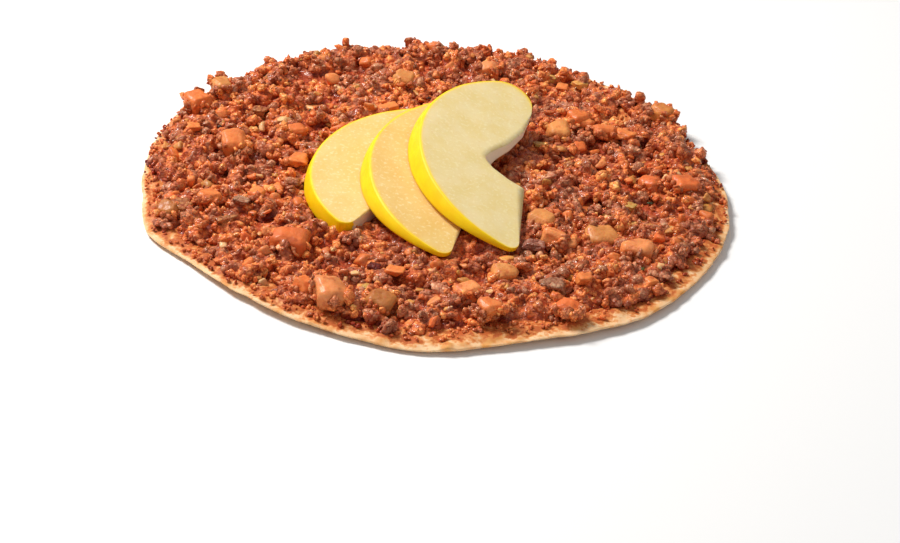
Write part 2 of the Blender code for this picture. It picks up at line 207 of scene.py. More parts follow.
def mesh_object(name, points, faces, material, smooth_shaded=True):
    points, faces = np.asarray(points, float), np.asarray(faces)
    mesh = bpy.data.meshes.new(name)
    mesh.vertices.add(len(points))
    mesh.vertices.foreach_set("co", points.ravel())
    mesh.loops.add(faces.size)
    mesh.loops.foreach_set("vertex_index", faces.ravel())
    mesh.polygons.add(len(faces))
    mesh.polygons.foreach_set("loop_start", np.arange(len(faces)) * faces.shape[1])
    mesh.materials.append(material)
    mesh.polygons.foreach_set("use_smooth", [smooth_shaded] * len(faces))
    mesh.update(calc_edges=True)
    obj = bpy.data.objects.new(name, mesh)
    bpy.context.scene.collection.objects.link(obj)
    return obj


def arrays(obj):
    """Points and triangles of an object as it is evaluated."""
    graph = bpy.context.evaluated_depsgraph_get()
    mesh = obj.evaluated_get(graph).to_mesh()
    mesh.calc_loop_triangles()
    points = np.empty(len(mesh.vertices) * 3)
    mesh.vertices.foreach_get("co", points)
    faces = np.empty(len(mesh.loop_triangles) * 3, int)
    mesh.loop_triangles.foreach_get("vertices", faces)
    obj.evaluated_get(graph).to_mesh_clear()
    return points.reshape(-1, 3), faces.reshape(-1, 3)


def quads(obj):
    """Points and polygons of a remeshed object, all of four corners."""
    graph = bpy.context.evaluated_depsgraph_get()
    mesh = obj.evaluated_get(graph).to_mesh()
    points = np.empty(len(mesh.vertices) * 3)
    mesh.vertices.foreach_get("co", points)
    corners = np.empty(len(mesh.loops), int)
    mesh.loops.foreach_get("vertex_index", corners)
    obj.evaluated_get(graph).to_mesh_clear()
    return points.reshape(-1, 3), corners.reshape(-1, 4)


def normals_of(points, faces):
    a, b, c = (points[faces[:, k]] for k in range(3))
    across = np.cross(b - a, c - a)
    if faces.shape[1] == 4:
        across += np.cross(c - a, points[faces[:, 3]] - a)
    total = np.zeros_like(points)
    for k in range(faces.shape[1]):
        np.add.at(total, faces[:, k], across)
    return total / np.maximum(np.linalg.norm(total, axis=1, keepdims=True), 1e-12)


def paint(obj, name, values):
    """Stores one number or one colour for each point."""
    values = np.asarray(values, np.float32)
    if values.ndim == 1:
        obj.data.attributes.new(name, "FLOAT", "POINT").data.foreach_set("value", values)
        return
    colours = np.ones((len(values), 4), np.float32)
    colours[:, :3] = values
    layer = obj.data.attributes.new(name, "FLOAT_COLOR", "POINT")
    layer.data.foreach_set("color", colours.ravel())


# ---- Materials ------------------------------------------------------------------------------
class Shader:
    """A Principled material and short ways to add nodes to it."""

    def __init__(self, name, **constants):
        self.material = bpy.data.materials.new(name)
        self.material.use_nodes = True
        self.tree = self.material.node_tree
        self.out = self.tree.nodes["Principled BSDF"]
        for socket, value in constants.items():
            self.out.inputs[socket.replace("_", " ")].default_value = value

    def add(self, kind, **settings):
        node = self.tree.nodes.new(kind)
        for key, value in settings.items():
            setattr(node, key, value)
        return node

    def link(self, source, target):
        self.tree.links.new(source, target)

    def feed(self, target, value):
        if isinstance(value, (int, float)):
            target.default_value = value
        elif isinstance(value, tuple):
            target.default_value = (*value, 1) if len(value) == 3 else value
        else:
            self.link(value, target)

    def attribute(self, name, colour=False):
        node = self.add("ShaderNodeAttribute", attribute_name=name)
        return node.outputs["Color" if colour else "Fac"]

    def noise(self, size, detail=3, roughness=0.55, stretch=(1, 1, 1)):
        """Noise between 0 and 1 with features of the given size in metres."""
        place = self.add("ShaderNodeTexCoord").outputs["Object"]
        mapping = self.add("ShaderNodeMapping")
        self.link(place, mapping.inputs["Vector"])
        mapping.inputs["Scale"].default_value = tuple(s / size for s in stretch)
        node = self.add("ShaderNodeTexNoise")
        node.inputs["Scale"].default_value = 1
        node.inputs["Detail"].default_value = detail
        node.inputs["Roughness"].default_value = roughness
        self.link(mapping.outputs["Vector"], node.inputs["Vector"])
        return node.outputs["Fac"]

    def cells(self, size, borders=False):
        """Cells of about the given size: a number for each, or the distance from their borders."""
        place = self.add("ShaderNodeTexCoord").outputs["Object"]
        warp = self.add("ShaderNodeTexNoise")
        warp.inputs["Scale"].default_value = 0.9 / size
        self.link(place, warp.inputs["Vector"])
        shift = self.add("ShaderNodeVectorMath", operation="MULTIPLY_ADD")
        self.link(warp.outputs["Color"], shift.inputs[0])
        shift.inputs[1].default_value = (1.1 * size,) * 3
        self.link(place, shift.inputs[2])
        feature = "DISTANCE_TO_EDGE" if borders else "F1"
        node = self.add("ShaderNodeTexVoronoi", feature=feature)
        node.inputs["Scale"].default_value = 1 / size
        self.link(shift.outputs[0], node.inputs["Vector"])
        if borders:
            return node.outputs["Distance"]
        split = self.add("ShaderNodeSeparateColor")
        self.link(node.outputs["Color"], split.inputs[0])
        return split.outputs[0]

    def ramp(self, value, low, high, to_low=0.0, to_high=1.0):
        node = self.add("ShaderNodeMapRange", interpolation_type="SMOOTHSTEP")
        for socket, number in zip(node.inputs[1:5], (low, high, to_low, to_high)):
            socket.default_value = number
        self.feed(node.inputs["Value"], value)
        return node.outputs["Result"]

    def maths(self, operation, a, b):
        node = self.add("ShaderNodeMath", operation=operation)
        self.feed(node.inputs[0], a)
        self.feed(node.inputs[1], b)
        return node.outputs[0]

    def mix(self, share, a, b, blend="MIX"):
        node = self.add("ShaderNodeMix", data_type="RGBA", blend_type=blend)
        self.feed(node.inputs[0], share)
        self.feed(node.inputs[6], a)
        self.feed(node.inputs[7], b)
        return node.outputs[2]

    def bump(self, height, distance, strength=1.0):
        node = self.add("ShaderNodeBump")
        node.inputs["Distance"].default_value = distance
        node.inputs["Strength"].default_value = strength
        self.feed(node.inputs["Height"], height)
        if self.out.inputs["Normal"].is_linked:
            self.link(self.out.inputs["Normal"].links[0].from_socket, node.inputs["Normal"])
        self.link(node.outputs["Normal"], self.out.inputs["Normal"])

    def set(self, socket, value):
        self.feed(self.out.inputs[socket], value)


def mince_material():
    s = Shader(
        "mince",
        Specular_IOR_Level=0.22,
        Subsurface_Weight=0.20,
        Subsurface_Scale=0.0012,
        Coat_Weight=0.22,
        Coat_Roughness=0.10,
    )
    s.out.inputs["Subsurface Radius"].default_value = (1.0, 0.25, 0.12)
    tint = s.attribute("tint", colour=True)
    speck = s.ramp(s.noise(2.0 * MM, 4), 0.34, 0.68, 0.0, 1.0)
    dark = s.mix(1.0, tint, (0.86, 0.70, 0.62), "MULTIPLY")
    light = s.mix(1.0, tint, (1.14, 1.28, 1.30), "MULTIPLY")
    colour = s.mix(speck, dark, light)
    grey = s.ramp(s.cells(2.4 * MM), 0.1, 0.9)
    shade = s.mix(grey, (0.84, 0.74, 0.68), (1.18, 1.26, 1.26))
    colour = s.mix(1.0, colour, shade, "MULTIPLY")
    # painted shade: the colour is darkened and reddened along the cells' borders, where the crumbs meet
    crease_shade_share = s.ramp(s.cells(2.4 * MM, borders=True), 0.0, 0.12)
    painted_crease_shade = s.mix(1.0, colour, (0.74, 0.50, 0.42), "MULTIPLY")
    s.set("Base Color", s.mix(crease_shade_share, painted_crease_shade, colour))
    s.set("Roughness", s.ramp(s.noise(2.2 * MM, 3), 0.3, 0.7, 0.34, 0.66))
    s.bump(s.ramp(s.cells(2.4 * MM, borders=True), 0.0, 0.25), 0.45 * MM, 0.7)
    s.bump(s.noise(1.1 * MM, 4, 0.6), 0.4 * MM, 0.8)
    return s.material


def bread_material():
    s = Shader("baked_dough", Specular_IOR_Level=0.2, Subsurface_Weight=0.15, Subsurface_Scale=0.002)
    s.out.inputs["Subsurface Radius"].default_value = (1.0, 0.5, 0.25)
    pale = s.mix(s.ramp(s.noise(6 * MM, 4), 0.35, 0.65), (0.84, 0.50, 0.25), (0.92, 0.62, 0.36))
    golden = s.mix(s.ramp(s.noise(3 * MM, 4), 0.35, 0.65), (0.66, 0.27, 0.065), (0.78, 0.38, 0.12))
    toast = s.attribute("toast")
    colour = s.mix(s.ramp(toast, 0.10, 0.60), pale, golden)
    colour = s.mix(s.ramp(toast, 0.66, 1.0), colour, (0.20, 0.070, 0.022))
    stain = s.maths("ADD", s.attribute("stain"), s.ramp(s.noise(2.0 * MM, 4), 0.3, 0.7, -0.38, 0.38))
    colour = s.mix(s.ramp(stain, 0.15, 0.70), colour, (0.72, 0.27, 0.075))
    colour = s.mix(s.ramp(stain, 0.55, 1.05), colour, (0.50, 0.115, 0.028))
    colour = s.mix(s.ramp(s.attribute("char"), 0.3, 0.8), colour, (0.022, 0.014, 0.011))
    s.set("Base Color", colour)
    s.set("Roughness", s.ramp(stain, 0.2, 0.9, 0.75, 0.48))
    s.bump(s.noise(1.2 * MM, 4, 0.6), 0.22 * MM, 0.7)
    s.bump(s.noise(0.35 * MM, 3, 0.6), 0.08 * MM, 0.6)
    return s.material


def vegetable_material(name):
    s = Shader(
        name,
        Specular_IOR_Level=0.3,
        Subsurface_Weight=0.25,
        Subsurface_Scale=0.0025,
        Coat_Weight=0.14,
        Coat_Roughness=0.18,
    )
    s.out.inputs["Subsurface Radius"].default_value = (1.0, 0.40, 0.15)
    tint = s.attribute("tint", colour=True)
    pulp = s.ramp(s.noise(2.6 * MM, 4), 0.40, 0.70)
    juice = s.mix(1.0, tint, (0.88, 0.66, 0.55), "MULTIPLY")
    coated = s.ramp(s.noise(4.5 * MM, 4, 0.65), 0.56, 0.66)
    colour = s.mix(s.maths("MULTIPLY", pulp, 0.6), tint, juice)
    colour = s.mix(s.maths("MULTIPLY", coated, 0.6), colour, (0.50, 0.090, 0.020))
    s.set("Base Color", colour)
    s.set("Roughness", s.ramp(s.noise(1.5 * MM, 3), 0.3, 0.7, 0.40, 0.66))
    s.bump(s.noise(1.3 * MM, 4, 0.6), 0.35 * MM, 0.8)
    return s.material


def quince_material():
    s = Shader("quince", Specular_IOR_Level=0.30, Subsurface_Weight=0.25, Subsurface_Scale=0.004)
    s.out.inputs["Subsurface Radius"].default_value = (1.0, 0.8, 0.35)
    peel = s.attribute("peel")
    green = s.attribute("green")
    cloud = s.ramp(s.noise(9 * MM, 4), 0.3, 0.7)
    warm = s.mix(cloud, (0.80, 0.51, 0.155), (0.83, 0.57, 0.21))
    cool = s.mix(cloud, (0.82, 0.64, 0.27), (0.86, 0.70, 0.37))
    flesh = s.mix(green, warm, cool)
    grain = s.ramp(s.noise(1.3 * MM, 3), 0.52, 0.72)
    flesh = s.mix(s.maths("MULTIPLY", grain, 0.45), flesh, (0.96, 0.85, 0.55))
    speckle = s.ramp(s.noise(2.4 * MM, 5, 0.7), 0.60, 0.74)
    flesh = s.mix(s.maths("MULTIPLY", speckle, 0.40), flesh, (0.80, 0.50, 0.16))
    flesh = s.mix(s.attribute("core"), flesh, (0.93, 0.83, 0.66))
    flesh = s.mix(s.ramp(s.attribute("brown"), 0.35, 0.9, 0.0, 0.7), flesh, (0.60, 0.34, 0.10))
    skin = s.mix(s.ramp(s.noise(6 * MM, 3), 0.3, 0.7), (0.95, 0.58, 0.0), (0.96, 0.66, 0.0))
    s.set("Base Color", s.mix(s.ramp(peel, 0.0, 1.0), flesh, skin))
    s.set("Roughness", s.ramp(peel, 0.5, 1.0, 0.45, 0.50))
    s.bump(s.noise(0.8 * MM, 3), 0.1 * MM, 0.5)
    return s.material


def plain_material(name, colour, roughness):
    s = Shader(name)
    s.set("Base Color", colour)
    s.set("Roughness", roughness)
    return s.material


# ---- Heights read from the CAD solids --------------------------------------------------------
class HeightMap:
    """Highest or lowest point of some CAD nodes over a square grid, and smooth reading from it."""

    def __init__(self, nodes, from_above=True):
        points, faces, count = [], [], 0
        for node in nodes:
            p, f = arrays(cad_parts[node])
            points.append(p)
            faces.append(f + count)
            count += len(p)
        tree = BVHTree.FromPolygons(np.concatenate(points).tolist(), np.concatenate(faces).tolist())
        low, high = cad_bounds
        self.start = np.array([low[0], low[1]]) - 2 * MAP_STEP
        self.shape = tuple(int((high[k] - low[k]) / MAP_STEP) + 6 for k in range(2))
        self.z = np.full(self.shape, np.nan)
        origin_z, direction = (1.0, Vector((0, 0, -1))) if from_above else (-1.0, Vector((0, 0, 1)))
        for i in range(self.shape[0]):
            for j in range(self.shape[1]):
                x, y = self.start[0] + i * MAP_STEP, self.start[1] + j * MAP_STEP
                hit = tree.ray_cast(Vector((x, y, origin_z)), direction)[0]
                if hit:
                    self.z[i, j] = hit.z

    def fill(self, keep=None, rounds=160):
        """Fills the empty cells, and those that keep rules out, from their neighbours."""
        known = ~np.isnan(self.z)
        if keep is not None:
            known &= keep
        z = np.where(known, self.z, 0.0)
        weight = known.astype(float)
        total, share = z * weight, weight.copy()
        for _ in range(rounds):
            grown = share.copy()
            grown_total = total.copy()
            for axis in (0, 1):
                for way in (-1, 1):
                    grown += np.roll(share, way, axis)
                    grown_total += np.roll(total, way, axis)
            fresh = (share == 0) & (grown > 0)
            total[fresh] = grown_total[fresh] / grown[fresh]
            share[fresh] = 1.0
            if (share > 0).all():
                break
        self.z = total
        return self

    def soften(self, rounds):
        for _ in range(rounds):
            z = self.z
            near = sum(np.roll(z, way, axis) for axis in (0, 1) for way in (-1, 1))
            self.z = 0.5 * z + 0.125 * near
        return self

    def at(self, x, y):
        u = np.clip((np.asarray(x) - self.start[0]) / MAP_STEP, 0, self.shape[0] - 1.001)
        v = np.clip((np.asarray(y) - self.start[1]) / MAP_STEP, 0, self.shape[1] - 1.001)
        i, j = u.astype(int), v.astype(int)
        a, b = u - i, v - j
        z = self.z
        low = z[i, j] * (1 - a) + z[i + 1, j] * a
        high = z[i, j + 1] * (1 - a) + z[i + 1, j + 1] * a
        return low * (1 - b) + high * b


def outline(node):
    """(angles, radii) of a round CAD node's outline, from its outermost points."""
    points, _ = arrays(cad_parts[node])
    angle = np.arctan2(points[:, 1], points[:, 0]) % (2 * pi)
    radius = np.hypot(points[:, 0], points[:, 1])
    bins = np.round(angle / (2 * pi) * 120).astype(int) % 120
    best = np.array([radius[bins == k].max() for k in range(120)])
    turns = np.arange(120) * 2 * pi / 120
    return turns, best


def round_table(table, angle):
    """Reads an outline smoothly at any angles."""
    turns, values = table
    count = len(values)
    u = (np.asarray(angle) % (2 * pi)) / (2 * pi) * count
    k = np.floor(u).astype(int)
    t = u - k
    a, b, c, d = (values[(k + s) % count] for s in (-1, 0, 1, 2))
    return b + 0.5 * t * (c - a + t * (2 * a - 5 * b + 4 * c - d + t * (3 * (b - c) + d - a)))


dice_nodes = sorted(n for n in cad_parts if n.startswith("tomato_dice"))
onion_nodes = sorted(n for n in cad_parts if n.startswith("onion_piece"))
bread_top = HeightMap(["flatbread"])
bread_bottom = HeightMap(["flatbread"], from_above=False)
mince_top = HeightMap(["meat_topping"])
sunk_top = HeightMap(dice_nodes + onion_nodes)
on_mince = ~np.isnan(mince_top.z)
on_sunk = ~np.isnan(sunk_top.z)
near_sunk = on_sunk.copy()
for _ in range(2):
    near_sunk = near_sunk | sum(np.roll(near_sunk, w, a) for a in (0, 1) for w in (-1, 1)).astype(bool)
mince_top.fill(keep=on_mince & ~near_sunk).soften(3)
bread_top.fill().soften(3)
bread_bottom.fill().soften(3)
bread_edge = outline("flatbread")
mince_edge = outline("meat_topping")
slice_low = HeightMap([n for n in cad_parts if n.startswith("quince")], from_above=False)
from_slices = np.where(np.isnan(slice_low.z), 99.0, 0.0) * MM  # distance from the slices' outlines
for _ in range(14):
    for axis in (0, 1):
        for way in (-1, 1):
            from_slices = np.minimum(from_slices, np.roll(from_slices, way, axis) + MAP_STEP)


def cell_of(x, y):
    """Row and column of each place in the height maps."""
    i = np.clip(np.round((x - bread_top.start[0]) / MAP_STEP).astype(int), 0, bread_top.shape[0] - 1)
    j = np.clip(np.round((y - bread_top.start[1]) / MAP_STEP).astype(int), 0, bread_top.shape[1] - 1)
    return i, j


def cell_value(mask, x, y):
    return mask[cell_of(x, y)]


def depth_at(x, y):
    """Thickness of the mince."""
    return mince_top.at(x, y) - bread_top.at(x, y)


def inside_mince(x, y):
    """How far inside the mince's outline a point is, in metres, and negative outside."""
    return round_table(mince_edge, np.arctan2(y, x)) - np.hypot(x, y)


# ---- Crumbs and cut bits ---------------------------------------------------------------------
# The colours that the crumbs run through, from dark meat to orange paste.
MEAT_COLOURS = np.array(
    [
        (0.52, 0.200, 0.110),
        (0.44, 0.115, 0.046),
        (0.56, 0.165, 0.070),
        (0.64, 0.170, 0.058),
        (0.74, 0.180, 0.048),
        (0.88, 0.270, 0.080),
    ]
)
PASTE_COLOUR = np.array([0.44, 0.072, 0.018])
TOMATO_COLOURS = [(0.74, 0.165, 0.036), (0.80, 0.225, 0.055), (0.85, 0.29, 0.09), (0.76, 0.19, 0.04)]
ONION_COLOURS = [(0.62, 0.215, 0.048), (0.72, 0.28, 0.075), (0.50, 0.17, 0.036)]
BIT_COLOURS = [(0.62, 0.26, 0.050), (0.72, 0.31, 0.080), (0.56, 0.26, 0.065), (0.80, 0.46, 0.20)]
HERB_COLOURS = [(0.050, 0.050, 0.012), (0.080, 0.080, 0.015), (0.060, 0.022, 0.010)]


def crumb_template(kind, detail):
    """A small lump with its own dents: 12 points at detail 1, and 42 at detail 2."""
    bm = bmesh.new()
    bmesh.ops.create_icosphere(bm, subdivisions=detail, radius=1)
    points = np.array([v.co for v in bm.verts])
    faces = np.array([[v.index for v in f.verts] for f in bm.faces])
    bm.free()
    dents = 0.75 * rough(points, 0.9, 40 + kind) + 0.34 * rough(points, 0.45, 60 + kind)
    return points * (1 + dents)[:, None], faces


def cut_template(kind, detail):
    """A knife-cut bit: a ball pressed flat by the planes of a skewed box and of three cuts."""
    bm = bmesh.new()
    bmesh.ops.create_cube(bm, size=2)
    bmesh.ops.subdivide_edges(bm, edges=bm.edges, cuts=detail - 1, use_grid_fill=True)
    points = np.array([v.co.normalized() for v in bm.verts])
    faces = np.array([[v.index for v in f.verts] for f in bm.faces])
    bm.free()
    own = np.random.default_rng(500 + kind)
    normals = np.concatenate([np.eye(3), -np.eye(3)]) + own.normal(0, 0.16, (6, 3))
    normals = np.concatenate([normals, own.normal(0, 1, (3, 3))])
    normals /= np.linalg.norm(normals, axis=1, keepdims=True)
    away = np.concatenate([own.uniform(0.62, 1.0, 6), own.uniform(0.80, 1.05, 3)])
    press = np.maximum(points @ normals.T, 0) / away
    reach = 1 / (press**12).sum(axis=1) ** (1 / 12)
    reach *= 1 + 0.20 * rough(points, 0.7, 80 + kind) + 0.10 * rough(points, 0.35, 90 + kind)
    return points * reach[:, None], faces


def turned(count):
    """Random rotation matrices."""
    q = rng.normal(size=(count, 4))
    w, x, y, z = (q / np.linalg.norm(q, axis=1, keepdims=True)).T
    rows = [
        [1 - 2 * (y * y + z * z), 2 * (x * y - z * w), 2 * (x * z + y * w)],
        [2 * (x * y + z * w), 1 - 2 * (x * x + z * z), 2 * (y * z - x * w)],
        [2 * (x * z - y * w), 2 * (y * z + x * w), 1 - 2 * (x * x + y * y)],
    ]
    return np.array(rows).transpose(2, 0, 1)


def scattered(template, detail, centres, radii, squash=None):
    """One mesh of many bits. Returns its points, its faces and the bit that each point is of."""
    kinds = rng.integers(0, 10, len(centres))
    spin = turned(len(centres))
    squash = np.ones((len(centres), 3)) if squash is None else squash
    points, faces, owners, count = [], [], [], 0
    for kind in range(10):
        shape, shape_faces = template(kind, detail)
        mine = np.flatnonzero(kinds == kind)
        stretch = rng.uniform(0.52, 1.45, (len(mine), 1, 3))
        bits = (shape[None] * stretch) @ spin[mine].transpose(0, 2, 1)
        bits = bits * squash[mine, None, :] * radii[mine, None, None] + centres[mine, None, :]
        points.append(bits.reshape(-1, 3))
        offsets = count + np.arange(len(mine)) * len(shape)
        faces.append((shape_faces[None] + offsets[:, None, None]).reshape(-1, shape_faces.shape[1]))
        owners.append(np.repeat(mine, len(shape)))
        count += len(mine) * len(shape)
    return np.concatenate(points), np.concatenate(faces), np.concatenate(owners)


def random_places(count, spare):
    """Places over the mince, spread at random."""
    angle = rng.uniform(0, 2 * pi, count)
    radius = (round_table(mince_edge, angle) - spare) * np.sqrt(rng.uniform(0, 1, count))
    return radius * np.cos(angle), radius * np.sin(angle)


def meat_colour(mood):
    """The crumb colour for each number between 0 and 1."""
    steps = np.linspace(0, 1, len(MEAT_COLOURS))
    mood = np.clip(mood, 0, 1)
    return np.stack([np.interp(mood, steps, MEAT_COLOURS[:, k]) for k in range(3)], axis=1)


def patch_mood(x, y):
    """Wide patches of the mince that are browner or redder."""
    return 0.22 * layered(flat(x, y), 22 * MM, 35)


# ---- The mince ------------------------------------------------------------------------------
def make_lumps():
    """The lumps of meat: centres, half sizes and mood of their cores, and their nubs."""
    x, y = random_places(LUMP_COUNT, -1.0 * MM)
    size = (1.6 + 4.4 * rng.uniform(0, 1, LUMP_COUNT) ** 1.7) * MM
    bread = bread_top.at(x, y)
    depth = mince_top.at(x, y) - bread
    ragged = 1.5 * MM * rough(flat(x, y), 9 * MM, 15)
    keep = (depth > 1.4 * MM) & (inside_mince(x, y) > ragged) & ~cell_value(on_sunk, x, y)
    x, y, size, bread, depth = (v[keep] for v in (x, y, size, bread, depth))
    count = len(x)
    size = np.minimum(size, 0.6 * MM + 1.2 * depth)
    top = bread + depth + 0.45 * (size - 3.2 * MM) + rng.normal(0, 0.7, count) * MM
    top = np.maximum(top, bread + 1.2 * MM)
    tall = np.clip((top - bread) * 0.7, 0.8 * MM, size)
    wide = size[:, None] * rng.uniform(0.68, 1.15, (count, 2))
    centre = np.stack([x, y, np.maximum(top - tall, bread)], axis=1)
    half = np.column_stack([wide, tall])
    mood = rng.uniform(0, 1, count) + patch_mood(x, y)

    number = (3 + 0.95 * (size / MM) ** 1.8).astype(int)
    owner = np.repeat(np.arange(count), number)
    way = rng.normal(size=(len(owner), 3))
    way[:, 2] = np.abs(way[:, 2]) * 1.1 - 0.15
    way /= np.linalg.norm(way, axis=1, keepdims=True)
    radius = (0.85 + 1.15 * rng.uniform(0, 1, len(owner)) ** 1.3) * MM
    nub = centre[owner] + way * half[owner] * rng.uniform(0.74, 0.96, (len(owner), 1))
    nub_mood = mood[owner] + rng.normal(0, 0.24, len(owner))
    return (centre, half, mood), (nub, radius, nub_mood)


def stuck_crumbs(points, out, count, small, large):
    """Places and radii for crumbs stuck all over a surface, few of them under the slices."""
    chosen = rng.choice(len(points), count, replace=False)
    hidden = ~np.isnan(slice_low.z[cell_of(points[chosen, 0], points[chosen, 1])])
    chosen = chosen[~hidden | (rng.uniform(0, 1, count) < 0.25)]
    radius = (small + (large - small) * rng.uniform(0, 1, len(chosen)) ** 1.5) * MM
    return points[chosen] + out[chosen] * (0.1 * radius)[:, None], radius, chosen


def make_collars():
    """Crumbs pressed against the sides of the sunk pieces."""
    centres = []
    for node in dice_nodes + onion_nodes:
        points, faces = arrays(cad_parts[node])
        a, b, c = (points[faces[:, k]] for k in range(3))
        across = np.cross(b - a, c - a)
        area = np.linalg.norm(across, axis=1)
        out = across / np.maximum(area, 1e-12)[:, None]
        share = area * (np.abs(out[:, 2]) < 0.6)
        pick = rng.choice(len(faces), COLLAR_COUNT, p=share / share.sum())
        u, v = rng.uniform(0, 1, (2, COLLAR_COUNT, 1))
        u, v = np.where(u + v > 1, 1 - u, u), np.where(u + v > 1, 1 - v, v)
        place = a[pick] + u * (b - a)[pick] + v * (c - a)[pick] + out[pick] * 0.35 * MM
        low, high = points[:, 2].min(), points[:, 2].max()
        place[:, 2] = np.minimum(place[:, 2], low + 0.86 * (high - low))
        centres.append(place)
    centres = np.concatenate(centres)
    radius = rng.uniform(0.8, 1.9, len(centres)) * MM
    mood = rng.uniform(0.1, 1, len(centres)) + patch_mood(centres[:, 0], centres[:, 1])
    return centres, radius, mood


def make_margin_crumbs():
    """Crumbs strewn over the bread's margin."""
    angle = rng.uniform(0, 2 * pi, MARGIN_COUNT)
    out = round_table(mince_edge, angle) + (rng.uniform(0, 1, MARGIN_COUNT) ** 1.8 * 7.0 - 1) * MM
    out = np.minimum(out, round_table(bread_edge, angle) - rng.uniform(0.8, 3, MARGIN_COUNT) * MM)
    radius = rng.uniform(0.4, 1.1, MARGIN_COUNT) * MM
    x, y = out * np.cos(angle), out * np.sin(angle)
    z = bread_top.at(x, y) + 0.1 * radius
    return np.stack([x, y, z], axis=1), radius, rng.uniform(0.45, 1.0, MARGIN_COUNT)


def under_slices(x, y, z):
    """Heights lowered to stay under the quince slices, and pressed down beside them."""
    ceiling = slice_low.z[cell_of(x, y)]
    pressed = mince_top.at(x, y) - 1.3 * MM + 0.55 * from_slices[cell_of(x, y)]
    return np.where(np.isnan(ceiling), np.minimum(z, pressed), np.minimum(z, ceiling - 0.2 * MM))


def make_paste():
    """A low slab under the crumbs, which fills the gaps between them."""
    rings, around = 90, 420
    angle = np.arange(around) * 2 * pi / around
    share = np.linspace(0, 1, rings + 1)[1:]
    reach = round_table(mince_edge, angle) - 1.0 * MM
    x = (share[:, None] * reach * np.cos(angle)).ravel()
    y = (share[:, None] * reach * np.sin(angle)).ravel()
    x, y = np.append(x, 0.0), np.append(y, 0.0)
    base = bread_top.at(x, y)
    depth = depth_at(x, y) - PASTE_DEPTH + 1.1 * MM * layered(flat(x, y), 6 * MM, 11)
    depth *= smooth(inside_mince(x, y) / (6 * MM))
    top = base + np.maximum(depth, -0.8 * MM)
    bottom = base - 1.2 * MM
    points = np.concatenate([np.stack([x, y, top], 1), np.stack([x, y, bottom], 1)])
    faces = []
    half = len(x)
    for layer in (0, half):
        flip = layer > 0
        for r in range(rings - 1):
            a = layer + r * around + np.arange(around)
            b = layer + r * around + (np.arange(around) + 1) % around
            quad = np.stack([a, a + around, b + around, b], 1)
            faces.append(quad[:, ::-1] if flip else quad)
        first = layer + np.arange(around)
        after = layer + (np.arange(around) + 1) % around
        middle = np.full(around, layer + half - 1)
        fan = np.stack([middle, first, after, after], 1)
        faces.append(fan[:, ::-1] if flip else fan)
    last = (rings - 1) * around + np.arange(around)
    after = (rings - 1) * around + (np.arange(around) + 1) % around
    faces.append(np.stack([last, last + half, after + half, after], 1))
    faces = np.concatenate(faces)
    triangles = np.concatenate([faces[:, [0, 1, 2]], faces[:, [0, 2, 3]]])
    triangles = triangles[(triangles[:, 1] != triangles[:, 2]) & (triangles[:, 0] != triangles[:, 2])]
    triangles = triangles[triangles[:, 0] != triangles[:, 1]]
    return points, triangles


def remeshed(name, points, faces, voxel):
    """Joins all that overlaps into one surface, and returns its points and quads."""
    lump = mesh_object(name, points, faces, plain_material("scratch", (0.5, 0.5, 0.5), 0.5))
    modifier = lump.modifiers.new("Melt", "REMESH")
    modifier.mode = "VOXEL"
    modifier.voxel_size = voxel
    result = quads(lump)
    bpy.data.objects.remove(lump)
    return result


class TopGrid:
    """The highest point of a dense mesh in each square millimetre."""

    def __init__(self, points):
        self.low = points[:, :2].min(0) - 5 * MM
        self.top = np.full(((points[:, :2].max(0) + 5 * MM - self.low) / MM).astype(int) + 1, -1.0)
        np.maximum.at(self.top, self.cell(points[:, 0], points[:, 1]), points[:, 2])

    def cell(self, x, y):
        cell = ((np.stack([x, y], 1) - self.low) / MM).astype(int)
        cell = np.clip(cell, 0, np.array(self.top.shape) - 1)
        return cell[:, 0], cell[:, 1]

    def at(self, x, y):
        return self.top[self.cell(x, y)]

    def relief(self, points, blur):
        """How far each point stands over the smoothed heights around it."""
        top, share = np.where(self.top > 0, self.top, 0.0), (self.top > 0).astype(float)
        for _ in range(blur):
            top, share = (
                0.4 * grid + 0.15 * sum(np.roll(grid, way, axis) for axis in (0, 1) for way in (-1, 1))
                for grid in (top, share)
            )
        level = (top / np.maximum(share, 1e-6))[self.cell(points[:, 0], points[:, 1])]
        return np.where(level > 0, points[:, 2] - level, 0.0)


def used_only(points, faces, *others):
    """Drops the points that no face uses, here and in the arrays that go with them."""
    used = np.unique(faces)
    renumber = np.zeros(len(points), int)
    renumber[used] = np.arange(len(used))
    return (points[used], renumber[faces], *(v[used] for v in others))


def paint_hollow_shade_and_crest_light(tint, relief):
    """Paints shade into what lies low, darker and redder, and paints light onto what stands up."""
    crest_light = smooth((relief + 0.3 * MM) / (2.2 * MM))[:, None]
    hollow_shade = smooth((-relief - 0.2 * MM) / (2.6 * MM))[:, None]
    tint = tint * (1 + crest_light * np.array([0.16, 0.30, 0.26]))
    tint = tint * (1 - hollow_shade * np.array([0.52, 0.84, 0.91]))
    return np.clip(tint, 0.003, 0.95)


def by_sector(name, points, faces, tint, material):
    """Splits a wide mesh into pieces like cake slices."""
    angle = np.arctan2(points[:, 1], points[:, 0]) % (2 * pi)
    sector_of_face = (angle[faces[:, 0]] / (2 * pi) * SECTORS).astype(int)
    pieces = []
    for sector in range(SECTORS):
        own_points, own_faces, own_tint = used_only(points, faces[sector_of_face == sector], tint)
        piece = mesh_object(f"{name}_{sector + 1}", own_points, own_faces, material)
        paint(piece, "tint", own_tint)
        pieces.append(piece)
        print(piece.name, own_faces.size // own_faces.shape[1] * (own_faces.shape[1] - 2))
    return pieces


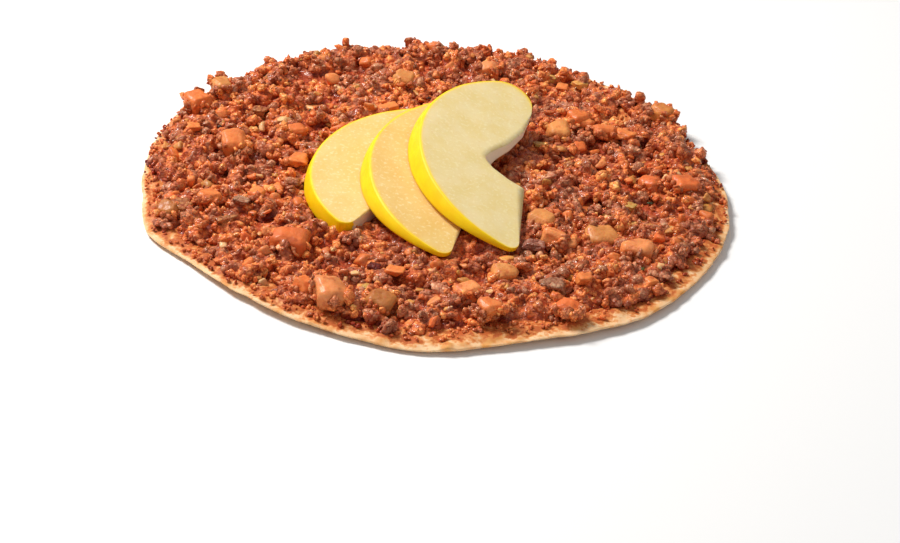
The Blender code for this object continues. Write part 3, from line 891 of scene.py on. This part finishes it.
def make_mince(material):
    """The mince: lumps, nubs and paste melted into one rough layer, and the crumbs stuck on it."""
    (core, half, core_mood), (nub, nub_radius, nub_mood) = make_lumps()
    core[:, 2] = under_slices(core[:, 0], core[:, 1], core[:, 2] + half[:, 2]) - half[:, 2]
    nub[:, 2] = under_slices(nub[:, 0], nub[:, 1], nub[:, 2] + nub_radius) - nub_radius
    size = half.max(axis=1)
    lumps, lump_faces, _ = scattered(crumb_template, 2, core, 0.84 * size, half / size[:, None])
    nubs, nub_faces, _ = scattered(crumb_template, 1, nub, nub_radius)
    paste_points, paste_faces = make_paste()
    points = np.concatenate([paste_points, lumps, nubs])
    lump_start = len(paste_points)
    nub_start = lump_start + len(lumps)
    faces = np.concatenate([paste_faces, lump_faces + lump_start, nub_faces + nub_start])
    points, faces = remeshed("mince_melt", points, faces, VOXEL)
    keep = points[:, 2] > bread_top.at(points[:, 0], points[:, 1]) - 0.5 * MM
    points, faces = used_only(points, faces[keep[faces].all(axis=1)])
    out = normals_of(points, faces)
    folds = 1.0 * np.abs(rough(points, 3.0 * MM, 21)) - 0.3
    grain = folds + 0.14 * rough(points, 1.5 * MM, 22)
    points = points + out * (grain * MM)[:, None]
    out = normals_of(points, faces)

    seeds = np.concatenate([core, nub])
    moods = np.concatenate([core_mood, nub_mood])
    reach = np.concatenate([half.mean(axis=1), nub_radius])
    tree = KDTree(len(seeds))
    for k, centre in enumerate(seeds):
        tree.insert(centre, k)
    tree.balance()
    nearest = np.array([tree.find(point)[1] for point in points.tolist()])
    away = np.linalg.norm(points - seeds[nearest], axis=1) / reach[nearest]
    patches = 0.16 * rough(points, 3.0 * MM, 34)
    colours = meat_colour(moods[nearest] + patches)
    paste = PASTE_COLOUR * (1 + 0.3 * rough(points, 6 * MM, 33))[:, None]
    bare = smooth((away - 1.3) / 0.7)[:, None]
    tint = colours * (1 - bare) + paste * bare
    grid = TopGrid(points)
    # painted shade in the hollows and painted light on the crests of the melted layer
    tint = paint_hollow_shade_and_crest_light(tint, grid.relief(points, 7))
    layer = by_sector("mince", points, faces, tint, material)

    crumbs, all_centres = [], [nub]
    extra = [make_collars(), make_margin_crumbs()]
    for name, detail, count, small, large in (
        ("crumbs", 2, CRUMB_COUNT, 1.0, 2.0),
        ("fine_crumbs", 1, GRAIN_COUNT, 0.42, 0.95),
    ):
        centres, radii, chosen = stuck_crumbs(points, out, count, small, large)
        mood = moods[nearest[chosen]] + rng.normal(0, 0.32, len(chosen))
        groups = [(centres, radii, mood)]
        for more_centres, more_radii, more_mood in extra:
            mine = (more_radii > 0.95 * MM) == (detail == 2)
            groups.append((more_centres[mine], more_radii[mine], more_mood[mine]))
        centres, radii, mood = (np.concatenate(parts) for parts in zip(*groups))
        centres[:, 2] = under_slices(centres[:, 0], centres[:, 1], centres[:, 2] + radii) - radii
        bits, bit_faces, owner = scattered(crumb_template, detail, centres, radii)
        bits[:, 2] = np.maximum(bits[:, 2], LOWEST_CRUMB)
        colours = meat_colour(mood) * rng.uniform(0.86, 1.16, (len(mood), 1))
        tint = colours[owner] * (1 + 0.16 * rough(bits, 1.3 * MM, 25))[:, None]
        # painted shade in the hollows and painted light on the crests of the stuck crumbs too
        tint = paint_hollow_shade_and_crest_light(tint, grid.relief(bits, 7))
        crumbs += by_sector(name, bits, bit_faces, tint, material)
        all_centres.append(centres)
    return layer, crumbs, np.concatenate(all_centres), grid


# ---- Small dice, onion and herbs --------------------------------------------------------------
def make_bits(name, count, sizes, colours, material, grid, flatness=(0.75, 1.0)):
    """Small cut bits among the crumbs, each with a colour of its own."""
    x, y = random_places(count, 1.5 * MM)
    radius = (sizes[0] + (sizes[1] - sizes[0]) * rng.uniform(0, 1, count) ** 1.6) * MM
    keep = ~cell_value(near_sunk, x, y) & np.isnan(slice_low.z[cell_of(x, y)])
    x, y, radius = x[keep], y[keep], radius[keep]
    z = 0.5 * (grid.at(x, y) + mince_top.at(x, y)) - radius * rng.uniform(0.0, 0.65, len(x))
    centres = np.stack([x, y, np.maximum(z, bread_top.at(x, y) + 0.3 * radius)], axis=1)
    squash = np.ones((len(x), 3))
    squash[:, 2] = rng.uniform(*flatness, len(x))
    points, faces, owner = scattered(cut_template, 4, centres, radius, squash)
    piece = mesh_object(name, points, faces, material)
    own = np.array(colours)[rng.integers(0, len(colours), len(x))] * rng.uniform(0.85, 1.12, (len(x), 1))
    tint = own[owner] * (1 + 0.25 * rough(points, 2.5 * MM, 87))[:, None]
    paint(piece, "tint", np.clip(tint, 0.004, 0.95))
    print(name, len(faces) * 2)
    return piece


def make_chunks(name, chunks, material, grid):
    """Single chunks among the crumbs, each at its own place, with its own size and colour."""
    points, faces, tints, count = [], [], [], 0
    for k, (x, y, long, wide, kind) in enumerate(chunks):
        shape, shape_faces = cut_template(20 + k, 8)
        x, y, long, wide = x * MM, y * MM, long * MM, wide * MM
        turn = rng.uniform(-0.6, 0.6)
        tall = 0.55 * min(long, wide)
        bit = shape * np.array([long, wide, tall]) / 2 / np.abs(shape).max(0)
        spin = np.array([[cos(turn), sin(turn), 0], [-sin(turn), cos(turn), 0], [0, 0, 1]])
        bit = bit @ spin + np.array([0.15, -0.1, 0]) * bit[:, 2:3]
        z = max(float(mince_top.at(x, y)), float(grid.at(np.array([x]), np.array([y]))[0]) - 1.2 * MM)
        bit = bit + np.array([x, y, z + 0.1 * tall])
        bit += (0.35 * MM * rough(bit, 3.5 * MM, 97))[:, None] * normals_of(bit, shape_faces)
        points.append(bit)
        faces.append(shape_faces + count)
        tints.append(np.array(CHUNK_COLOURS[kind]) * (1 + 0.3 * rough(bit, 2.5 * MM, 98))[:, None])
        count += len(bit)
    piece = mesh_object(name, np.concatenate(points), np.concatenate(faces), material)
    paint(piece, "tint", np.clip(np.concatenate(tints), 0.004, 0.95))
    return piece


# ---- The flatbread --------------------------------------------------------------------------
def make_bread(material, crumb_centres):
    """The bread: thin at its lip, blistered and stained by the mince."""
    around = 430
    shares_top = np.concatenate([[0.04, 0.2, 0.4, 0.55, 0.68, 0.76], np.linspace(0.80, 0.992, 42)])
    shares_low = np.concatenate([np.linspace(0.994, 0.80, 12), [0.65, 0.45, 0.25, 0.04]])
    angle = np.arange(around) * 2 * pi / around
    circle = flat(np.cos(angle), np.sin(angle))
    edge = round_table(bread_edge, angle) - 0.3 * MM
    edge += 0.30 * MM * rough(circle, 0.045, 51) + 0.30 * MM * rough(circle, 0.018, 52) - 0.2 * MM

    def rows(shares, height):
        made = []
        for share in shares:
            x, y = share * edge * np.cos(angle), share * edge * np.sin(angle)
            made.append(np.stack([x, y, height(x, y, share)], 1))
        return made

    bubbles = 90
    turn = rng.uniform(0, 2 * pi, bubbles)
    out = (round_table(bread_edge, turn) - rng.uniform(1.0, 9.0, bubbles) * MM)
    bubble_x, bubble_y = out * np.cos(turn), out * np.sin(turn)
    bubble_size = rng.uniform(1.3, 3.6, bubbles) * MM
    bubble_height = bubble_size * rng.uniform(0.10, 0.32, bubbles)

    def lift(x, y):
        total = np.zeros(len(x))
        for k in range(bubbles):
            d = np.hypot(x - bubble_x[k], y - bubble_y[k]) / bubble_size[k]
            total = np.maximum(total, bubble_height[k] * smooth(1.25 - d))
        return total

    def top(x, y, share):
        where = flat(x, y)
        z = bread_top.at(x * 0.998, y * 0.998)
        z = z + 0.34 * MM * rough(where, 5 * MM, 53) + 0.18 * MM * rough(where, 2.2 * MM, 54)
        z = z + (lift(x, y) if share > 0.85 else 0.0)
        lip = 1.05 + 0.5 * rough(where, 13 * MM, 56) + 0.3 * rough(where, 4 * MM, 57)
        return z - lip * MM * smooth((share - 0.93) / 0.065)

    def low(x, y, share):
        rise = 0.3 * MM * smooth((share - 0.96) / 0.03)
        return bread_bottom.at(x * 0.998, y * 0.998) + rise + 0.1 * MM * (rough(flat(x, y), 4 * MM, 55) + 1)

    upper, lower = rows(shares_top, top), rows(shares_low, low)
    rim = []
    steps = 6
    for k in range(1, steps + 1):
        t = k / (steps + 1)
        bulge = edge * (0.993 + 0.007 * sin(pi * t) ** 0.5)
        z = upper[-1][:, 2] * (0.5 + 0.5 * cos(pi * t)) + lower[0][:, 2] * (0.5 - 0.5 * cos(pi * t))
        rim.append(np.stack([bulge * np.cos(angle), bulge * np.sin(angle), z], 1))
    all_rows = upper + rim + lower
    points = np.concatenate(all_rows)
    faces = []
    here, after = np.arange(around), (np.arange(around) + 1) % around
    for r in range(len(all_rows) - 1):
        a = r * around
        faces.append(np.stack([a + here, a + around + here, a + around + after, a + after], 1))
    faces = np.concatenate(faces).tolist()
    faces.append(list(range(around))[::-1])
    last = (len(all_rows) - 1) * around
    faces.append([last + k for k in range(around)])
    mesh = bpy.data.meshes.new("bread")
    mesh.from_pydata(points.tolist(), [], faces)
    mesh.materials.append(material)
    mesh.polygons.foreach_set("use_smooth", [True] * len(mesh.polygons))
    mesh.update()
    bread = bpy.data.objects.new("bread", mesh)
    bpy.context.scene.collection.objects.link(bread)
    bm = bmesh.new()
    bm.from_mesh(mesh)
    bmesh.ops.recalc_face_normals(bm, faces=bm.faces)
    bm.to_mesh(mesh)
    bm.free()

    x, y, z = points.T
    where = flat(x, y)
    share = np.hypot(x, y) / round_table(bread_edge, np.arctan2(y, x))
    tree = KDTree(len(crumb_centres))
    for k, centre in enumerate(crumb_centres):
        tree.insert((centre[0], centre[1], 0), k)
    tree.balance()
    near = np.array([tree.find((a, b, 0))[2] for a, b in zip(x, y)])
    stain = 1.05 - 0.95 * smooth(near / (6.5 * MM)) + 0.40 * layered(where, 6 * MM, 61)
    stain = np.clip(stain * (1 - 0.8 * smooth((share - 0.972) / 0.02)), 0, 1.2)
    under = np.zeros(len(points), bool)
    under[(len(upper) + len(rim)) * around:] = True
    stain[under] = 0.0
    toast = 0.18 * smooth((share - 0.955) / 0.035) + 0.5 * layered(where, 9 * MM, 62)
    toast += 0.55 * smooth(lift(x, y) / (0.5 * MM)) * (0.6 + 0.6 * rough(where, 12 * MM, 63))
    toast[under] = 0.35 + 0.5 * layered(where[under], 14 * MM, 64)
    paint(bread, "stain", stain)
    paint(bread, "toast", np.clip(toast, 0, 1))
    paint(bread, "char", np.zeros(len(points)))
    return bread


# ---- Diced vegetables -----------------------------------------------------------------------
def make_dice(name, nodes, colours, material, seed):
    """The CAD blocks with knife-cut, slightly worn faces, each with a colour of its own."""
    bm = bmesh.new()
    bmesh.ops.create_cube(bm, size=2)
    bmesh.ops.subdivide_edges(bm, edges=bm.edges, cuts=DICE_DETAIL - 1, use_grid_fill=True)
    rays = np.array([v.co.normalized() for v in bm.verts])
    quad = np.array([[v.index for v in f.verts] for f in bm.faces])
    bm.free()
    own = np.random.default_rng(seed)
    points, faces, tints = [], [], []
    for k, node in enumerate(nodes):
        block, block_faces = arrays(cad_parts[node])
        low, high = block.min(0), block.max(0)
        middle = (low + high) / 2
        tree = BVHTree.FromPolygons(block.tolist(), block_faces.tolist())
        reach = np.array([tree.ray_cast(Vector(middle), Vector(ray))[3] or 0.0 for ray in rays])
        for _ in range(2):
            normal = own.normal(size=3) + np.array([0, 0, 0.6])
            normal /= np.linalg.norm(normal)
            depth = own.uniform(0.72, 0.90) * (rays @ normal * reach).max()
            press = np.maximum(rays @ normal, 1e-3)
            reach = np.minimum(reach, depth / press)
        shape = rays * reach[:, None]
        worn = 0.36 * rough(shape + 0.1 * k, 3.4 * MM, seed) + 0.22 * rough(shape + 0.1 * k, 1.7 * MM, seed + 1)
        shape = shape + rays * (worn * MM)[:, None]
        colour = np.array(colours[own.integers(0, len(colours))]) * own.uniform(0.92, 1.08)
        tints.append(colour * (1 + 0.22 * rough(shape + 0.1 * k, 5 * MM, seed + 2))[:, None])
        faces.append(quad + len(rays) * k)
        points.append(shape + middle)
    piece = mesh_object(name, np.concatenate(points), np.concatenate(faces), material)
    paint(piece, "tint", np.clip(np.concatenate(tints), 0.004, 0.95))
    return piece


# ---- The quince slices ----------------------------------------------------------------------
def along(points, count):
    """count points at even steps along a broken line."""
    points = np.asarray(points, float)
    run = np.concatenate([[0], np.cumsum(np.linalg.norm(np.diff(points, axis=0), axis=1))])
    at = np.linspace(0, run[-1], count)
    return np.stack([np.interp(at, run, points[:, k]) for k in range(2)], 1)


def arc(centre, radius, start, end, steps):
    turn = np.radians(np.linspace(start, end, steps + 1))
    return np.stack([centre[0] + radius * np.cos(turn), centre[1] + radius * np.sin(turn)], 1)


def slice_edges(flare, slope, count):
    """The peel side and the core side of a slice, from the stem end to the blossom end."""
    middle = SLICE_ARC - SLICE_WIDTH
    lobe_y = sqrt((SLICE_ARC - SLICE_LOBE) ** 2 - (SLICE_LOBE + middle) ** 2)
    foot_y = -sqrt((SLICE_ARC - SLICE_FOOT) ** 2 - (SLICE_FOOT + middle) ** 2)
    start = degrees(atan2(lobe_y, -SLICE_LOBE - middle))
    end = degrees(atan2(foot_y, -SLICE_FOOT - middle)) % 360
    outer = np.concatenate(
        [
            arc((-SLICE_LOBE, lobe_y), SLICE_LOBE, 0, start, 24),
            arc((middle, 0), SLICE_ARC, start, end, 160)[1:],
            arc((-SLICE_FOOT, foot_y), SLICE_FOOT, end, 360, 16)[1:],
        ]
    )
    away = outer - np.array([middle, 0])
    away /= np.linalg.norm(away, axis=1, keepdims=True)
    outer += away * (flare * np.clip(-outer[:, 0] / FLARE_FADE, 0, 1))[:, None]
    outer[:, 1] *= SLICE_STRETCH
    depth = NOTCH_DEPTH - slope * NOTCH_SLOPE
    top = NOTCH_TOP - slope * NOTCH_SIDE_SLOPE
    bottom = NOTCH_BOTTOM + slope * NOTCH_SIDE_SLOPE
    apex = NOTCH_APEX + slope * NOTCH_SIDE_SLOPE / 2
    lower = [(0.0, 1.0), (0.40, 0.80), (0.78, 0.46), (0.95, 0.18), (1.0, 0.0)]
    upper = [(0.88, 0.11), (0.50, 0.34), (0.15, 0.66), (0.0, 1.0)]
    notch = [(-s * depth, apex + w * (bottom - apex)) for s, w in lower]
    notch += [(-s * depth, apex + w * (top - apex)) for s, w in upper]
    inner = [tuple(outer[0])] + notch[::-1] + [tuple(outer[-1])]
    inner = along(inner, 900)
    for _ in range(60):  # rounds the notch's corners
        inner[1:-1] = 0.5 * inner[1:-1] + 0.25 * (inner[:-2] + inner[2:])
    return along(outer, count), along(inner, count)


def slice_depth(x, y, foot):
    share = 0.5 + 0.5 * y / (SLICE_ARC * SLICE_STRETCH)
    core = foot + (SLICE_STEM_THICKNESS - foot) * share
    return core + (SLICE_PEEL_THICKNESS - core) * (np.maximum(-x, 0) / SLICE_WIDTH) ** SLICE_HOLLOW


def make_slice(name, scale, x, y, turn, lean, lift, foot, material, green):
    node = "quince_slice_" + name
    count, across, wall, below = 200, 28, 8, 4
    top_outer, top_inner = slice_edges(0, 0, count)
    rows = []
    tags = []
    thick_outer = slice_depth(top_outer[:, 0], top_outer[:, 1], foot * MM)
    thick_inner = slice_depth(top_inner[:, 0], top_inner[:, 1], foot * MM)
    for k in range(across):  # upper face, from the core to the peel
        t = (k / (across - 1)) ** 0.75
        flat_row = top_inner * (1 - t) + top_outer * t
        rows.append(np.column_stack([flat_row, np.zeros(count)]))
        tags.append(("top", t))
    for k in range(1, wall + 1):  # peel, downwards
        share = k / (wall + 1)
        bulge = SLICE_BULGE * 4 * share * (1 - share)
        outer, _ = slice_edges(share * SLICE_FLARE + bulge, share, count)
        rows.append(np.column_stack([outer, -share * thick_outer]))
        tags.append(("peel", share))
    low_outer, low_inner = slice_edges(SLICE_FLARE, 1, count)
    for k in range(below):
        t = k / (below - 1)
        flat_row = low_outer * (1 - t) + low_inner * t
        thick = thick_outer * (1 - t) + thick_inner * t
        rows.append(np.column_stack([flat_row, -thick]))
        tags.append(("under", t))
    for k in range(1, wall + 1):  # core's cut, upwards
        share = 1 - k / (wall + 1)
        _, inner = slice_edges(share * SLICE_FLARE, share, count)
        rows.append(np.column_stack([inner, -share * thick_inner]))
        tags.append(("core", share))
    points = np.concatenate(rows)
    total = len(rows)
    faces = []
    for r in range(total):
        a, b = r * count, (r + 1) % total * count
        k = np.arange(count - 1)
        faces.append(np.stack([a + k, b + k, b + k + 1, a + k + 1], 1))
    faces = np.concatenate(faces)

    peel = np.zeros(len(points))
    core = np.zeros(len(points))
    brown = np.zeros(len(points))
    gap = np.linalg.norm(top_outer - top_inner, axis=1)
    lobe_fade = smooth(1 - np.linspace(0, 1, count) / 0.16)
    for r, (kind, t) in enumerate(tags):
        mine = slice(r * count, (r + 1) * count)
        if kind == "peel":
            peel[mine] = 1.0
        elif kind == "top":
            from_peel = gap * (1 - t)
            width = 0.9 * MM + 5.0 * MM * lobe_fade
            peel[mine] = np.exp(-from_peel / width) * 0.9 if t < 1 else 1.0
            from_core = gap * t
            brown[mine] = np.exp(-from_core / (1.6 * MM)) * 0.8
        elif kind == "core":
            core[mine] = 0.8
            brown[mine] = smooth((0.25 - t) / 0.25) * 0.5
        else:
            peel[mine] = np.exp(-(gap * t) / (0.8 * MM))
    points = points * scale
    upward = np.zeros(len(points))
    upward[: across * count] = 1.0
    points[:, 2] += upward * (
        0.14 * MM * rough(points, 11 * MM, 71) + 0.035 * MM * rough(points, 1.8 * MM, 72)
    )
    matrix = Matrix.Rotation(radians(turn), 4, "Z")
    matrix = matrix @ Matrix.Rotation(radians(lift), 4, "X") @ Matrix.Rotation(radians(lean), 4, "Y")
    turned_points = points @ np.array(matrix.to_3x3()).T + np.array([x, y, 0]) * MM
    low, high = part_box(node)
    turned_points[:, 2] += high.z - turned_points[:, 2].max()
    piece = mesh_object("slice_" + name, turned_points, faces, material)
    bm = bmesh.new()
    bm.from_mesh(piece.data)
    bmesh.ops.remove_doubles(bm, verts=bm.verts, dist=1e-6)
    bmesh.ops.recalc_face_normals(bm, faces=bm.faces)
    bm.to_mesh(piece.data)
    bm.free()
    spot = points[:, :2] / scale
    tree = KDTree(len(turned_points))
    for k, point in enumerate(turned_points):
        tree.insert(point, k)
    tree.balance()
    index = np.array([tree.find(v.co)[1] for v in piece.data.vertices])
    patchy = 0.5 + 0.7 * rough(flat(spot[:, 0], spot[:, 1]), 1.6 * MM, 75)
    paint(piece, "peel", peel[index])
    paint(piece, "core", core[index])
    paint(piece, "brown", (brown * patchy)[index])
    paint(piece, "green", np.full(len(index), green))
    print("slice", name, len(piece.data.polygons) * 2, "box", low, high, turned_points.min(0), turned_points.max(0))
    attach(piece, "root")
    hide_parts(node)
    return piece


# ---- Floor, light and camera -----------------------------------------------------------------
def area_light(name, place, aim, size, power, colour):
    light = bpy.data.lights.new(name, "AREA")
    light.shape = "DISK"
    light.size = size
    light.energy = power
    light.color = colour
    lamp = bpy.data.objects.new(name, light)
    lamp.location = place
    lamp.rotation_euler = (Vector(aim) - Vector(place)).to_track_quat("-Z", "Y").to_euler()
    bpy.context.scene.collection.objects.link(lamp)


def make_stage():
    floor = mesh_object(
        "floor",
        [(-3, -3, 0), (3, -3, 0), (3, 3, 0), (-3, 3, 0)],
        [(0, 1, 2, 3)],
        plain_material("floor", (0.92, 0.92, 0.92), 0.6),
    )
    world = bpy.data.worlds.new("studio")
    bpy.context.scene.world = world
    world.use_nodes = True
    world.node_tree.nodes["Background"].inputs["Color"].default_value = (1.0, 1.0, 1.0, 1)
    world.node_tree.nodes["Background"].inputs["Strength"].default_value = 0.32
    area_light("key", (-0.70, 0.36, 1.02), (0, 0, 0), 0.45, 20.5, (1.0, 0.98, 0.95))
    area_light("fill", (0.5, -1.0, 0.9), (0, 0, 0), 1.0, 1.5, (1.0, 1.0, 1.0))


def make_camera():
    camera = bpy.data.objects.new("camera", bpy.data.cameras.new("camera"))
    bpy.context.scene.collection.objects.link(camera)
    forward = (Vector(CAMERA_AIM) - Vector(CAMERA_PLACE)).normalized()
    right = forward.cross(Vector((0, 0, 1))).normalized()
    up = right.cross(forward)
    roll = radians(CAMERA_ROLL)
    across = right * cos(roll) + up * sin(roll)
    above = up * cos(roll) - right * sin(roll)
    turn = Matrix([across, above, -forward]).transposed().to_4x4()
    camera.matrix_world = Matrix.Translation(CAMERA_PLACE) @ turn
    camera.data.lens = CAMERA_LENS
    camera.data.sensor_width = 36
    bpy.context.scene.camera = camera


def ride(piece, slot, *nodes):
    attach(piece, "root")
    if nodes:
        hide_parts(*nodes)


def main():
    make_camera()
    make_stage()
    bpy.context.scene.view_settings.view_transform = "Standard"
    meat = mince_material()
    tomato = vegetable_material("tomato")
    onion = vegetable_material("onion")
    layer, crumbs, centres, grid = make_mince(meat)
    for piece in layer + crumbs:
        ride(piece, "spiced_mince", "meat_topping")
    ride(make_bread(bread_material(), centres), "baked_dough", "flatbread")
    dice = make_dice("tomato", dice_nodes, TOMATO_COLOURS, tomato, 81)
    ride(dice, "tomato_flesh", *dice_nodes)
    pieces = make_dice("onion", onion_nodes, ONION_COLOURS, onion, 91)
    ride(pieces, "cooked_onion", *onion_nodes)
    small = make_bits("small_tomato", SMALL_DICE_COUNT, (0.9, 2.9), TOMATO_COLOURS, tomato, grid)
    ride(small, "tomato_flesh")
    small = make_bits("small_onion", SMALL_ONION_COUNT, (0.8, 2.5), BIT_COLOURS, onion, grid, (0.5, 0.9))
    ride(small, "cooked_onion")
    ride(make_chunks("meat_chunks", MEAT_CHUNKS, meat, grid), "spiced_mince")
    ride(make_chunks("soft_chunks", SOFT_CHUNKS, onion, grid), "cooked_onion")
    herbs = make_bits("herbs", HERB_COUNT, (0.4, 1.1), HERB_COLOURS, meat, grid, (0.3, 0.5))
    ride(herbs, "spiced_mince")
    skin = quince_material()
    for (name, *place), green in zip(QUINCE_SLICES, (0.15, 0.0, 1.0)):
        make_slice(name, *place, skin, green)


main()
